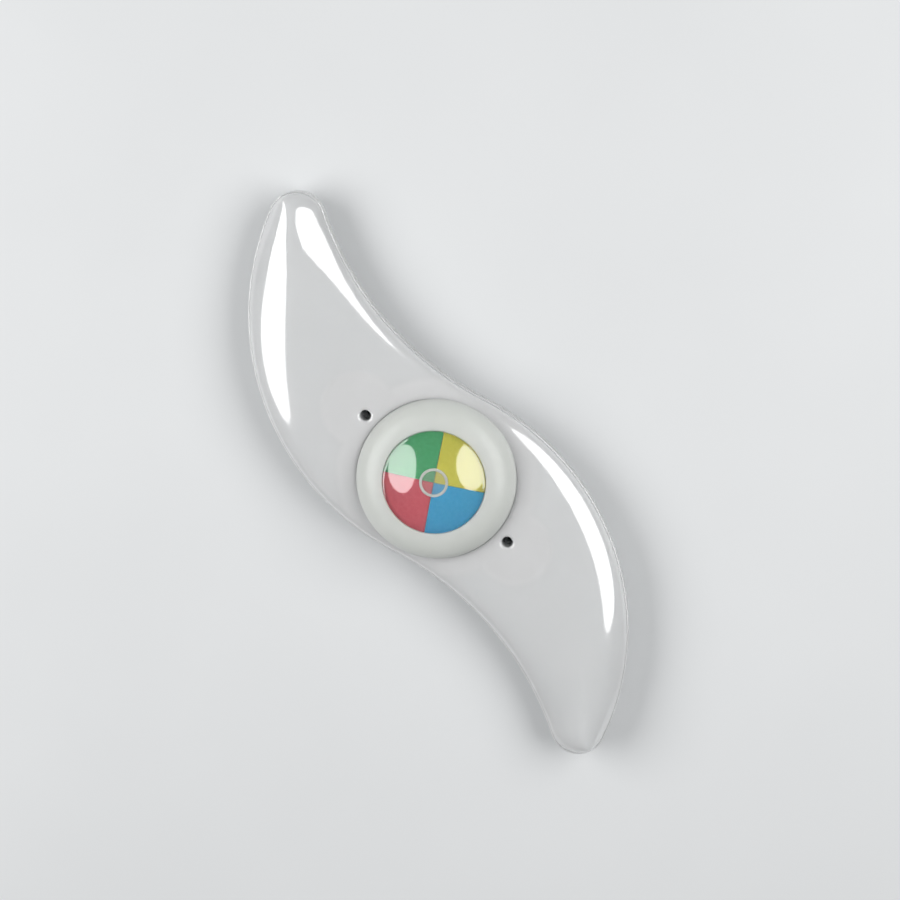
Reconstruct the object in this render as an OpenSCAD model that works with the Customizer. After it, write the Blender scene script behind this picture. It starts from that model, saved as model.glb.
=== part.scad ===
// Spoke wheel light: a leaf-shaped translucent lamp that clamps between the spokes of a bicycle wheel.
// Millimetres. The origin is on the hub axis at the back of the lock plate, +Z points out of the front
// and +X runs along the leaf to one tip. The leaf has two-fold symmetry about Z.

/* [Leaf outline] */
// Radius of the convex edge of each arm
lobe_r = 54; // [50:0.5:57]
// Distance along the leaf from the hub axis to the crown of each convex edge
lobe_x = 21.6; // [20:0.1:24]
// Height of that crown above the long axis
lobe_crown = 26; // [24.5:0.1:27.5]
// Radius of each rounded tip
tip_r = 5.8; // [4.8:0.1:6.6]
// Direction from the convex edge's centre to the tip's centre, in degrees
tip_angle = 37.2; // [35:0.1:39]
// Radius of the hollow edge of each arm
waist_r = 66; // [58:1:76]

/* [Shells] */
// Wall of both shells
wall = 1.4; // [1:0.1:1.8]
// Floor of the back shell
floor_t = 2.4; // [2.2:0.1:3]
// Depth of the back shell, from the parting line to its flat back
back_depth = 4; // [3.6:0.1:5]
// Rounded depth that the flat back cuts away
back_crop = 0.6; // [0.4:0.1:1]
// Height of the rim band at the parting line
rim_h = 0.6; // [0.4:0.1:1]
// Step from the rim band in to the domed front
rim_step = 0.3; // [0.2:0.05:0.5]
// Rise of the front's crown above the rim band
arm_crown = 4.2; // [3.9:0.1:5]
// Roundness of the front's cross-section beside the hub, where 2 is an ellipse
hub_power = 2.4; // [2.2:0.1:3]
// Sharpness of the ridge along each arm, where 2 is round
ridge_power = 1.5; // [1.4:0.1:1.8]
// Roundness of the front's edge along each arm, where 1 is straight
edge_power = 1.3; // [1.2:0.1:1.6]
// Half-width of arm below which the front has its full ridge
ridge_half = 9; // [7:0.5:11]
// Half-width of arm above which the front is as it is beside the hub
flat_half = 17; // [15:0.5:18]
// Roundness of the back's cross-section
back_power = 6; // [4:0.5:8]
// Half-width of arm at which the front reaches its full depth
front_shoulder = 12; // [9:0.5:14]
// Half-width of arm at which the back reaches its full depth
back_shoulder = 5; // [4:0.5:7]

/* [Spoke clamp] */
// Thickness of the lock plate
plate_t = 2.4; // [2:0.1:3]
// Gap between the lock plate and the back shell
spoke_gap = 1; // [0.8:0.05:1.2]
// Diameter of the spokes that it clamps
spoke_d = 2; // [1.8:0.1:2.3]
// Clearance of the groove round a spoke
spoke_clear = 0.05; // [0.02:0.01:0.1]
// Land between a tie hole and the spoke groove beside it
spoke_land = 1.65; // [1:0.05:3]
// Width of the lock plate's wings
wing_w = 15; // [12:0.5:18]
// Reach of the wings past the spokes
wing_over = 5.5; // [4:0.5:7]
// Rim of the lock plate's disc outside its seal
cover_rim = 2; // [1.5:0.1:3]
// Width of the coin slot
coin_slot_w = 1.8; // [1.4:0.1:2.4]
// Length of the coin slot
coin_slot_l = 16; // [12:0.5:19]
// Depth of the coin slot
coin_slot_deep = 1.2; // [0.8:0.1:1.4]

/* [Tie holes] */
// Direction of the line through both tie holes, in degrees
tie_angle = 20.6; // [15:0.1:25]
// Diameter of a tie hole
tie_d = 2.2; // [1.8:0.1:2.6]
// Wall of the boss round a tie hole
tie_wall = 0.9; // [0.7:0.1:1.2]
// Space between the hub ring and a tie boss
tie_gap = 0.95; // [0.6:0.05:1.5]

/* [Battery] */
// Radius of the coin cell
cell_r = 10; // [9.5:0.1:10.5]
// Thickness of the coin cell
cell_t = 3.2; // [2.5:0.1:3.6]
// Radius of the cell's raised cap
cap_r = 8.8; // [8:0.1:9]
// Height of the cell's raised cap
cap_h = 0.3; // [0.2:0.05:0.5]
// Clearance round the cell
cell_clear = 0.2; // [0.15:0.05:0.4]
// Solid core of the lock plate under the cell
core_t = 1.8; // [1.4:0.1:2.4]
// Foam pad between core and cell
pad_t = 0.8; // [0.5:0.1:1.2]
// Space above the cell, under the holder's roof
holder_gap = 0.4; // [0.3:0.05:0.8]
// Roof of the battery holder
holder_roof = 0.8; // [0.6:0.1:1.2]
// Thickness of the contact springs
leaf_t = 0.25; // [0.2:0.05:0.4]
// Width of the contact springs
leaf_w = 3; // [2:0.1:4]
// Length of the centre contact
leaf_l = 8; // [6:0.5:9]
// Length of the centre contact's flat ends
leaf_pad = 1.6; // [1:0.1:2]
// Gap between the side contact and the cell
strip_gap = 0.05; // [0.03:0.01:0.1]

/* [Bayonet] */
// Wall of the lock plate's spigot
spigot_wall = 1.1; // [0.9:0.1:1.4]
// Running clearance of the spigot in the back shell
turn_clear = 0.1; // [0.05:0.01:0.15]
// Reach of the two lugs past the spigot
lug_reach = 1.4; // [1:0.1:1.6]
// Thickness of the lugs
lug_t = 1.1; // [0.9:0.1:1.4]
// Height of the spigot above its lugs
spigot_lip = 0.1; // [0.05:0.05:0.2]
// Clearance of the lugs over the floor
lug_clear = 0.1; // [0.05:0.01:0.2]
// Clearance outside the lugs
lug_side = 0.2; // [0.15:0.05:0.3]
// Half-angle of a lug, in degrees
lug_half = 16; // [12:1:18]
// Play of a lug in its entry slot, in degrees each side
slot_play = 2; // [1:0.5:4]
// Clearance over the spigot
lift_clear = 0.2; // [0.15:0.05:0.5]
// Turn from locked to open, in degrees
turn_angle = 90; // [80:1:95]
// Land between the entry slots and the sealing ring
seal_land = 1.1; // [0.8:0.1:1.4]
// Slack of each sealing ring in its gap
seal_slack = 0.1; // [0.05:0.01:0.2]

/* [Board] */
// Thickness of the circuit board
board_t = 1.2; // [0.8:0.1:1.6]
// Clearance of board and holder inside the hub
board_clear = 0.1; // [0.05:0.05:0.3]
// Diameter of the board screws
screw_d = 2; // [1.6:0.1:2.2]
// Diameter of the screw heads
screw_head_d = 3; // [2.6:0.1:3.4]
// Height of the screw heads
screw_head_h = 1.2; // [0.9:0.1:1.4]
// Depth of the screws in the back shell's floor
screw_bite = 1.2; // [0.8:0.1:1.4]
// Clearance of the screws in the pieces that they hold
screw_clear = 0.1; // [0.05:0.01:0.2]
// Clearance of the screws in their thread bosses
thread_clear = 0.02; // [0.01:0.01:0.05]
// Wall of the thread bosses
boss_wall = 0.7; // [0.6:0.05:0.9]
// Space between spigot and thread bosses
boss_gap = 0.2; // [0.15:0.05:0.3]
// Distance of the hub lamps from the axis
hub_led_reach = 7.2; // [6.8:0.1:7.6]
// Side of a hub lamp, along the board's edge
hub_led_l = 3.5; // [3:0.1:4]
// Side of a hub lamp, towards the axis
hub_led_w = 2.8; // [2.2:0.1:3]
// Height of a hub lamp
hub_led_h = 1.4; // [1:0.1:1.9]
// Length of a resistor
resistor_l = 3.2; // [2:0.1:3.4]
// Width of a resistor
resistor_w = 1.6; // [1.2:0.1:1.7]
// Height of a resistor
resistor_h = 0.6; // [0.4:0.05:0.8]
// Space between a hub lamp and its resistor
resistor_gap = 1.4; // [1:0.1:1.8]
// Length of the control chip
chip_l = 5; // [4:0.1:5.4]
// Width of the control chip
chip_w = 3.8; // [3:0.1:4]
// Height of the control chip
chip_h = 1.5; // [1.2:0.1:1.7]
// Distance of the control chip from the axis
chip_reach = 9.3; // [9:0.1:9.6]
// Radius of an arm lamp
arm_led_r = 1.5; // [1.2:0.1:1.6]
// Length of an arm lamp's straight body
arm_led_l = 3.8; // [3:0.1:4.4]
// Radius of an arm lamp's flange
led_flange_r = 1.9; // [1.7:0.1:2]
// Thickness of an arm lamp's flange
led_flange_t = 1; // [0.8:0.1:1.2]
// Offset of an arm lamp from the long axis
arm_led_y = 1.5; // [0.8:0.1:2]
// Depth of an arm lamp's axis below the board
arm_led_drop = 1.2; // [1:0.1:1.4]
// Space between the board's edge and an arm lamp
arm_led_gap = 0.3; // [0.2:0.1:0.6]
// Thickness of a lamp lead
lead_w = 0.5; // [0.4:0.05:0.6]
// Distance between the two leads of a lamp
lead_pitch = 2; // [1.6:0.1:2.2]
// Length of a lead on the board
lead_on = 1.8; // [1.2:0.1:2.2]
// Clearance round a lead or contact in the holder
lead_clear = 0.15; // [0.1:0.05:0.3]
// Width of the hub drum's windows for the arm lamps
window_w = 8; // [7:0.5:9]

/* [Switch] */
// Side of the switch case
switch_w = 6.2; // [5.4:0.1:6.4]
// Height of the switch case
switch_h = 1.8; // [1.5:0.1:2]
// Thickness of the switch's metal cover
switch_cover_t = 0.3; // [0.2:0.05:0.4]
// Radius of the plunger
plunger_r = 1.7; // [1.4:0.1:1.9]
// Height of the plunger above the cover
plunger_out = 0.5; // [0.5:0.05:0.6]
// Depth of the plunger below the cover
plunger_deep = 0.8; // [0.6:0.05:0.9]
// Clearance round the plunger
plunger_clear = 0.15; // [0.1:0.05:0.25]
// Floor of the switch case
switch_floor = 0.3; // [0.2:0.05:0.4]
// Length of a switch foot
foot_l = 1.1; // [0.8:0.1:1.2]
// Width of a switch foot
foot_w = 0.8; // [0.6:0.1:1]
// Thickness of a switch foot
foot_t = 0.3; // [0.2:0.05:0.4]
// Distance between the two feet on one side
foot_pitch = 4.5; // [4:0.1:5]

/* [Hub ring and button] */
// Step from the hub drum out to the ring
ring_step = 0.3; // [0.2:0.05:0.5]
// Depth of the ring's seat in the front's crown
ring_seat = 0.8; // [0.7:0.05:1]
// Rise of the ring's rounded face from its foot to the button
ring_h = 4.6; // [4.2:0.1:5.5]
// Clearance of the ring in its seat
ring_clear = 0.05; // [0.03:0.01:0.1]
// Thickness of the ring's lip over the button's flange
lip_t = 1.1; // [0.9:0.1:1.3]
// Wall of the sleeve that guides the flange
guide_wall = 0.9; // [0.7:0.1:1.1]
// Depth of that sleeve below the lip
guide_deep = 1.9; // [1.6:0.1:2.2]
// Radius of the clear button dome
dome_r = 10.5; // [10:0.1:11]
// Rise of the dome above the ring
dome_rise = 3.1; // [2.5:0.1:3.8]
// Radius of the ring mark in the dome's underside
mark_r = 2.5; // [2:0.05:3]
// Width of the ring mark
mark_w = 0.5; // [0.3:0.05:0.7]
// Depth of the ring mark
mark_deep = 0.3; // [0.2:0.05:0.5]
// Clearance between dome and ring
dome_gap = 0.2; // [0.1:0.05:0.3]
// Width of the colour disc's flange outside the dome
flange_w = 1.2; // [1:0.1:1.4]
// Clearance round and over the flange
flange_clear = 0.1; // [0.05:0.01:0.15]
// Side room of the flange in its sleeve
flange_side = 0.4; // [0.3:0.05:0.5]
// Thickness of the colour disc
disc_t = 0.6; // [0.4:0.1:0.8]
// Rise of the disc's flange round the colour fields
disc_rim = 0.2; // [0.1:0.05:0.25]
// Thickness of the colour fields
field_t = 0.3; // [0.2:0.05:0.4]
// Gap between the colour fields, and round them
field_gap = 0.1; // [0.05:0.01:0.2]
// Direction of the edge between the blue and yellow fields, in degrees
field_angle = 51; // [0:1:89]
// Radius of the stem under the colour disc
stem_r = 2; // [1.5:0.1:2.5]
// Gap between two pieces that press on each other
press_gap = 0.05; // [0.03:0.01:0.08]
// Section radius of the ring's seal
ring_seal_r = 0.3; // [0.24:0.02:0.34]

/* [Hidden] */
$fn = 64;

// Overlap that keeps a cut clear of the face it opens
cut = 0.2;
// Size that reaches past the whole lamp
beyond = 200;
// Cross-sections along the leaf, and points across each of them
leaf_steps = 40;
arch_steps = 12;
arch_count = (leaf_steps - 1) * (arch_steps + 1) + 2;
edge_count = 2 * leaf_steps;
arc_steps = 24;
collar_steps = 10;

// Roundness across and upwards, along slim arms and beside the hub
front_powers = [[ridge_power, edge_power], [hub_power, hub_power]];
back_powers = [[back_power, back_power], [back_power, back_power]];

// Outline centres: convex edge, tip and hollow edge of the arm that points along +X
lobe_c = [lobe_x, lobe_crown - lobe_r];
tip_c = lobe_c + (lobe_r - tip_r) * [cos(tip_angle), sin(tip_angle)];
waist_c = touching_centre(tip_c, tip_r + waist_r, -lobe_c, lobe_r + waist_r);

// Heights from the lock plate's back upwards
back_z = plate_t + spoke_gap;
floor_z = back_z + floor_t;
part_z = back_z + back_depth;
groove_r = spoke_d / 2 + spoke_clear;
groove_z = plate_t + groove_r;
lug_z = floor_z + lug_clear;
spigot_top = lug_z + lug_t + spigot_lip;
ledge_z = spigot_top + lift_clear;
core_z = plate_t + core_t;
cell_z = core_z + pad_t;
cell_top = cell_z + cell_t;
roof_z = cell_top + holder_gap;
board_z = roof_z + holder_roof;
board_top = board_z + board_t;
crown_z = part_z + rim_h + arm_crown;
seat_z = crown_z - ring_seat;
shoulder_z = board_top + screw_head_h;
ring_top = shoulder_z + ring_h;
lip_z = ring_top - lip_t;
guide_z = lip_z - guide_deep;
button_z = lip_z - flange_clear - disc_rim - disc_t;
field_z = button_z + disc_t;
print_z = field_z + field_t;
switch_top = board_top + switch_h;
plunger_top = switch_top + switch_cover_t + plunger_out;

// Radii from the cell outwards
spigot_in = cell_r + cell_clear;
spigot_r = spigot_in + spigot_wall;
bore_r = spigot_r + turn_clear;
lug_r = spigot_r + lug_reach;
skirt_in = lug_r + lug_side;
seal_r = skirt_in + seal_land;
cover_r = seal_r + cover_rim;
cover_seal_r = (spoke_gap - seal_slack) / 2;
screw_r = screw_d / 2;
head_r = screw_head_d / 2;
boss_r = screw_r + boss_wall;
screw_reach = spigot_r + boss_gap + boss_r;
holder_r = screw_reach + head_r;
drum_in = holder_r + board_clear;
drum_r = drum_in + wall;
ring_r = drum_r + ring_step;
tie_r = tie_d / 2;
tie_boss_r = tie_r + tie_wall;
tie_reach = ring_r + tie_gap + tie_boss_r;
spoke_x = tie_reach * cos(tie_angle) + tie_r + groove_r + spoke_land;
wing_reach = spoke_x / cos(tie_angle) + wing_over;
flange_r = dome_r + flange_w;
lip_r = dome_r + dome_gap;
guide_in = flange_r + flange_side;
guide_r = guide_in + guide_wall;
ring_seal_reach = (drum_in + drum_r) / 2;
field_r = dome_r - field_gap;
dome_ball = (dome_r * dome_r + dome_rise * dome_rise) / (2 * dome_rise);
dome_ball_z = ring_top + dome_rise - dome_ball;
contact_hole_r = norm([leaf_l, leaf_w]) / 2 + lead_clear;
arm_led_x = holder_r + arm_led_gap;
arm_led_z = board_z - arm_led_drop;
resistor_reach = hub_led_reach + hub_led_w / 2 + resistor_gap + resistor_w / 2;

// Directions: bayonet lugs when locked, board screws in the sectors that the lugs never sweep
lug_angle = tie_angle + 90;
screw_angle = lug_angle + turn_angle / 2 + 90;
contact_angle = screw_angle + 60;
chip_angle = field_angle;

// Colours as they look on the lamp
milky = [0.86, 0.89, 0.87, 0.75];
milky_ring = [0.88, 0.9, 0.86, 0.9];
clear = [0.9, 0.95, 0.97, 0.3];

// Centre of a circle at distance a from p and b from q, on the left of the way from p to q
function touching_centre(p, a, q, b) =
    let (
        way = q - p,
        gap = norm(way),
        along = way / gap,
        t = (a * a - b * b + gap * gap) / (2 * gap),
        side = sqrt(a * a - t * t)
    )
    p + t * along + side * [-along.y, along.x];

// Height over the long axis of a circle's upper or lower half at x
function circle_y(c, r, x, side) = c.y + side * sqrt(max(0, r * r - (x - c.x) * (x - c.x)));

// Tip of the leaf along X, and its two edges, with the outline moved in by inset
function leaf_end(inset) = tip_c.x + tip_r - inset;
function join_x(c, r, toward) = (c + r * (toward - c) / norm(toward - c)).x;
function upper_y(x, inset) =
    x > lobe_c.x + (lobe_r - inset) * cos(tip_angle) ? circle_y(tip_c, tip_r - inset, x, 1)
    : x > join_x(lobe_c, lobe_r - inset, -waist_c) ? circle_y(lobe_c, lobe_r - inset, x, 1)
    : x > join_x(-tip_c, tip_r - inset, -waist_c) ? circle_y(-waist_c, waist_r + inset, x, -1)
    : circle_y(-tip_c, tip_r - inset, x, 1);
function lower_y(x, inset) = -upper_y(-x, inset);
function leaf_x(i, inset) = -leaf_end(inset) * cos(180 * i / leaf_steps);

// One point of an arched cross-section: j runs from the lower edge over the crown to the upper edge,
// and powers holds its roundness across and upwards, first along slim arms and then beside the hub
function arch_point(i, j, inset, depth, powers, shoulder) =
    let (
        x = leaf_x(i, inset),
        middle = (upper_y(x, inset) + lower_y(x, inset)) / 2,
        half = (upper_y(x, inset) - lower_y(x, inset)) / 2,
        slim = max(0, 1 - half / shoulder),
        height = depth * sqrt(1 - slim * slim),
        wide = min(1, max(0, (half - ridge_half) / (flat_half - ridge_half))),
        power = powers[0] + (powers[1] - powers[0]) * wide * wide * (3 - 2 * wide),
        a = 180 * j / arch_steps,
        across = -sign(cos(a)) * pow(abs(cos(a)), 2 / power.x)
    )
    [x, middle + half * across, j == 0 || j == arch_steps ? 0 : height * pow(sin(a), 2 / power.y)];

// Points of an arched leaf: one tip, the arches from tip to tip, the other tip
function tip_point(i, inset) = [leaf_x(i, inset), upper_y(leaf_x(i, inset), inset), 0];
function arch_points(inset, depth, powers, shoulder, lift) = [
    for (p = concat(
        [tip_point(0, inset)],
        [
            for (i = [1 : leaf_steps - 1])
                for (j = [0 : arch_steps])
                    arch_point(i, j, inset, depth, powers, shoulder)
        ],
        [tip_point(leaf_steps, inset)]
    ))
        p + [0, 0, lift]
];

// Place in that list of arch i's point j, and of point k round the leaf's edge
function arch_at(i, j) = 1 + (i - 1) * (arch_steps + 1) + j;
function edge_at(k) =
    k == 0 ? 0
    : k < leaf_steps ? arch_at(k, 0)
    : k == leaf_steps ? arch_count - 1
    : arch_at(edge_count - k, arch_steps);

// Faces between neighbouring arches and at both tips, seen from outside or from inside
function arch_faces(first, inside) = [
    for (face = concat(
        [
            for (i = [1 : leaf_steps - 2])
                for (j = [0 : arch_steps - 1])
                    for (upper = [true, false])
                        upper
                            ? [arch_at(i, j), arch_at(i, j + 1), arch_at(i + 1, j + 1)]
                            : [arch_at(i, j), arch_at(i + 1, j + 1), arch_at(i + 1, j)]
        ],
        [for (j = [0 : arch_steps - 1]) [0, arch_at(1, j + 1), arch_at(1, j)]],
        [
            for (j = [0 : arch_steps - 1])
                [arch_count - 1, arch_at(leaf_steps - 1, j), arch_at(leaf_steps - 1, j + 1)]
        ]
    ))
        [for (k = inside ? [2, 1, 0] : [0, 1, 2]) first + face[k]]
];

// Faces between two loops of points round the leaf's edge
function band_faces(low, high) = [
    for (k = [0 : edge_count - 1])
        let (next = (k + 1) % edge_count)
            [low[k], high[k], high[next], low[next]]
];

// Points of an arc about c, from one angle to another
function arc(c, r, from, to) = [
    for (k = [0 : arc_steps])
        let (a = from + (to - from) * k / arc_steps)
            c + r * [cos(a), sin(a)]
];

// Points of the ring's elliptic section over the edge of its lip, from one angle to another
function collar_curve(across, rise, from, to) = [
    for (k = [0 : collar_steps])
        let (a = from + (to - from) * k / collar_steps)
            [lip_r + across * cos(a), shoulder_z + rise * sin(a)]
];

// Leaf outline, from one tip along the lower edge and back along the upper one
function outline(inset) = concat(
    [for (i = [0 : leaf_steps]) [leaf_x(i, inset), lower_y(leaf_x(i, inset), inset)]],
    [for (i = [leaf_steps - 1 : -1 : 1]) [leaf_x(i, inset), upper_y(leaf_x(i, inset), inset)]]
);

// Solid with a flat leaf-shaped base at z = 0 and an arched top
module arched_leaf(depth, powers, shoulder) {
    end = leaf_steps - 1;
    base = [
        for (i = [1 : end - 1])
            [arch_at(i, 0), arch_at(i + 1, 0), arch_at(i + 1, arch_steps), arch_at(i, arch_steps)]
    ];
    tips = [
        [0, arch_at(1, 0), arch_at(1, arch_steps)],
        [arch_count - 1, arch_at(end, arch_steps), arch_at(end, 0)]
    ];
    polyhedron(
        points = arch_points(0, depth, powers, shoulder, 0),
        faces = concat(arch_faces(0, false), base, tips)
    );
}

// Hollow arched leaf, open at z = 0, with a rim band round its open edge
module hollow_leaf() {
    rim = outline(0);
    outer = 2 * edge_count;
    inner = outer + arch_count;
    low_rim = [for (k = [0 : edge_count - 1]) k];
    high_rim = [for (k = low_rim) edge_count + k];
    outer_edge = [for (k = low_rim) outer + edge_at(k)];
    inner_edge = [for (k = low_rim) inner + edge_at(k)];
    polyhedron(
        points = concat(
            [for (p = rim) [p.x, p.y, 0]],
            [for (p = rim) [p.x, p.y, rim_h]],
            arch_points(rim_step, arm_crown, front_powers, front_shoulder, rim_h),
            arch_points(wall, crown_z - wall - part_z, front_powers, front_shoulder, 0)
        ),
        faces = concat(
            band_faces(low_rim, high_rim),
            band_faces(high_rim, outer_edge),
            band_faces(inner_edge, low_rim),
            arch_faces(outer, false),
            arch_faces(inner, true)
        )
    );
}

module at_ties() {
    for (turn = [0, 180])
        rotate(tie_angle + turn)
            translate([tie_reach, 0, 0])
                children();
}

module at_screws() {
    for (turn = [0, 180])
        rotate(screw_angle + turn)
            translate([screw_reach, 0, 0])
                children();
}

module tube(inner, outer, h) {
    difference() {
        cylinder(r = outer, h = h);
        translate([0, 0, -cut])
            cylinder(r = inner, h = h + 2 * cut);
    }
}

// Round bar from height low to height high
module bar(r, low, high) {
    translate([0, 0, low])
        cylinder(r = r, h = high - low);
}

// Box on the board, centred over its place
module brick(l, w, h) {
    translate([-l / 2, -w / 2, 0])
        cube([l, w, h]);
}

// Two opposite sectors of a disc
module sectors(r, half_angle, h) {
    intersection() {
        cylinder(r = r, h = h);
        for (turn = [0, 180])
            rotate(turn)
                linear_extrude(h)
                    polygon([[0, 0], 2 * r * [1, -tan(half_angle)], 2 * r * [1, tan(half_angle)]]);
    }
}

module torus(reach, r, z) {
    translate([0, 0, z])
        rotate_extrude()
            translate([reach, 0])
                circle(r);
}

module front_shell() {
    inside_wall = crown_z - wall / 2;
    color(milky)
        difference() {
            union() {
                translate([0, 0, part_z])
                    hollow_leaf();
                bar(drum_r, part_z, inside_wall);
                at_ties()
                    bar(tie_boss_r, part_z, inside_wall);
            }
            bar(drum_in, part_z - cut, crown_z + cut);
            bar(ring_r + ring_clear, seat_z, crown_z + cut);
            translate([-tie_reach, -window_w / 2, part_z - cut])
                cube([2 * tie_reach, window_w, arm_led_z + led_flange_r + cut - part_z]);
            at_ties()
                bar(tie_r, part_z - cut, crown_z + cut);
        }
}

module back_shell() {
    color(milky)
        difference() {
            union() {
                difference() {
                    translate([0, 0, part_z])
                        mirror([0, 0, 1])
                            arched_leaf(back_depth + back_crop, back_powers, back_shoulder);
                    translate([-beyond / 2, -beyond / 2, back_z - beyond])
                        cube(beyond);
                    translate([0, 0, floor_z])
                        linear_extrude(part_z - floor_z + cut)
                            polygon(outline(wall));
                }
                at_ties()
                    bar(tie_boss_r, floor_z - cut, part_z);
                at_screws()
                    bar(boss_r, floor_z - cut, ledge_z);
            }
            bar(bore_r, back_z - cut, floor_z + cut);
            rotate(lug_angle + turn_angle)
                translate([0, 0, back_z - cut])
                    sectors(skirt_in, lug_half + slot_play, floor_t + 2 * cut);
            at_ties()
                bar(tie_r, back_z - cut, part_z + cut);
            at_screws()
                bar(screw_r + thread_clear, floor_z - screw_bite - cut, ledge_z + cut);
            for (side = [-1, 1])
                translate([side * spoke_x, 0, groove_z])
                    rotate([90, 0, 0])
                        cylinder(r = groove_r, h = beyond, center = true);
        }
}

// Rounded collar that rises from its seat in the front shell to the button
module hub_bezel() {
    seal_room = ring_seal_r + seal_slack / 2;
    guide_turn = acos((guide_r - lip_r) / (drum_in - lip_r));
    color(milky_ring)
        difference() {
            rotate_extrude()
                polygon(concat(
                    [[drum_in, seat_z], [ring_r, seat_z]],
                    collar_curve(ring_r - lip_r, ring_h, 0, 90),
                    [[lip_r, lip_z], [guide_in, lip_z], [guide_in, guide_z], [guide_r, guide_z]],
                    collar_curve(drum_in - lip_r, ring_h - wall, guide_turn, 0)
                ));
            translate([0, 0, seat_z - cut])
                tube(ring_seal_reach - seal_room, ring_seal_reach + seal_room, 2 * seal_room + cut);
        }
}

module bezel_seal() {
    color("dimgray")
        torus(ring_seal_reach, ring_seal_r, seat_z + ring_seal_r + seal_slack / 2);
}

// Solid clear dome on the colour fields, with the ring mark in its underside
module button_dome() {
    color(clear)
        difference() {
            intersection() {
                bar(dome_r, print_z, ring_top + dome_rise + cut);
                translate([0, 0, dome_ball_z])
                    sphere(dome_ball);
            }
            translate([0, 0, print_z - cut])
                tube(mark_r - mark_w / 2, mark_r + mark_w / 2, mark_deep + cut);
        }
}

// Carrier of the colour fields and the dome, with the flange that the ring's lip holds down
module colour_disc() {
    color("white")
        union() {
            difference() {
                bar(flange_r, button_z, field_z + disc_rim);
                bar(dome_r, field_z, field_z + disc_rim + cut);
            }
            bar(stem_r, plunger_top + press_gap, button_z + disc_t / 2);
        }
}

// Quarter of the disc, counted anticlockwise from the edge between blue and yellow
module field(quarter) {
    rotate(field_angle + 90 * quarter)
        intersection() {
            bar(field_r, field_z, print_z);
            translate([field_gap / 2, field_gap / 2, field_z])
                cube([field_r, field_r, field_t]);
        }
}

module yellow_field() {
    color([0.93, 0.83, 0.16])
        field(0);
}

module green_field() {
    color([0.1, 0.55, 0.3])
        field(1);
}

module red_field() {
    color([0.85, 0.2, 0.25])
        field(2);
}

module blue_field() {
    color([0.15, 0.5, 0.85])
        field(3);
}

module switch_case() {
    color("black")
        translate([0, 0, board_top])
            difference() {
                brick(switch_w, switch_w, switch_h);
                bar(plunger_r + plunger_clear, switch_floor, switch_h + cut);
            }
}

module switch_cover() {
    color("silver")
        translate([0, 0, switch_top])
            difference() {
                brick(switch_w, switch_w, switch_cover_t);
                bar(plunger_r + plunger_clear, -cut, switch_cover_t + cut);
            }
}

module switch_plunger() {
    color("ivory")
        bar(plunger_r, switch_top - plunger_deep, plunger_top);
}

module switch_feet() {
    color("silver")
        for (side = [0, 180], row = [-1, 1])
            rotate(side)
                translate([(switch_w + foot_l) / 2, row * foot_pitch / 2, board_top])
                    brick(foot_l, foot_w, foot_t);
}

module circuit_board() {
    color("seagreen")
        difference() {
            bar(holder_r, board_z, board_top);
            at_screws()
                bar(screw_r + screw_clear, board_z - cut, board_top + cut);
        }
}

// Chip body with four legs along each long side
module control_chip() {
    leg_pitch = chip_l / 4;
    leg_t = foot_t;
    leg_l = chip_w + 2 * foot_w;
    color("black")
        rotate(chip_angle)
            translate([chip_reach, 0, board_top])
                union() {
                    translate([0, 0, leg_t / 2])
                        rotate(90)
                            brick(chip_l, chip_w, chip_h);
                    for (k = [-1.5 : 1 : 1.5])
                        translate([0, k * leg_pitch, 0])
                            brick(leg_l, leg_pitch / 2, leg_t);
                }
}

module at_fields() {
    for (quarter = [0 : 3])
        rotate(field_angle + 45 + 90 * quarter)
            children();
}

module resistors() {
    color("darkslategray")
        at_fields()
            translate([resistor_reach, 0, board_top])
                brick(resistor_w, resistor_l, resistor_h);
}

module hub_leds() {
    cup_r = hub_led_w / 2 - 2 * leaf_t;
    color("white")
        at_fields()
            translate([hub_led_reach, 0, board_top])
                difference() {
                    brick(hub_led_w, hub_led_l, hub_led_h);
                    bar(cup_r, hub_led_h - leaf_t, hub_led_h + cut);
                }
}

module arm_led() {
    color(clear)
        translate([arm_led_x, arm_led_y, arm_led_z])
            rotate([0, 90, 0])
                union() {
                    cylinder(r = led_flange_r, h = led_flange_t);
                    cylinder(r = arm_led_r, h = led_flange_t + arm_led_l);
                    translate([0, 0, led_flange_t + arm_led_l])
                        sphere(arm_led_r);
                }
}

module arm_led_a() {
    arm_led();
}

module arm_led_b() {
    rotate(180)
        arm_led();
}

// Two leads from each arm lamp to the board's underside
module led_leads() {
    color("silver")
        for (turn = [0, 180], side = [-lead_pitch, lead_pitch])
            rotate(turn)
                translate([holder_r - lead_on, arm_led_y + (side - lead_w) / 2, board_z - lead_w])
                    cube([lead_on + arm_led_gap, lead_w, lead_w]);
}

module battery_holder() {
    notch = [lead_on + lead_clear + cut, lead_pitch + lead_w + 2 * lead_clear, lead_w + lead_clear + cut];
    slot = [strip_gap + leaf_t + lead_clear, leaf_w + 2 * lead_clear, board_z - ledge_z + 2 * cut];
    color("whitesmoke")
        difference() {
            rotate_extrude()
                polygon([
                    [skirt_in, floor_z], [holder_r, floor_z],
                    [holder_r, board_z], [contact_hole_r, board_z],
                    [contact_hole_r, roof_z], [spigot_in, roof_z],
                    [spigot_in, ledge_z], [skirt_in, ledge_z]
                ]);
            at_screws() {
                bar(boss_r + screw_clear, floor_z - cut, ledge_z + screw_clear);
                bar(screw_r + screw_clear, floor_z, board_z + cut);
            }
            for (turn = [0, 180])
                rotate(turn)
                    translate([holder_r + cut - notch.x, arm_led_y - notch.y / 2, board_z + cut - notch.z])
                        cube(notch);
            rotate(contact_angle)
                translate([cell_r, -slot.y / 2, ledge_z - cut])
                    cube(slot);
        }
}

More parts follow.
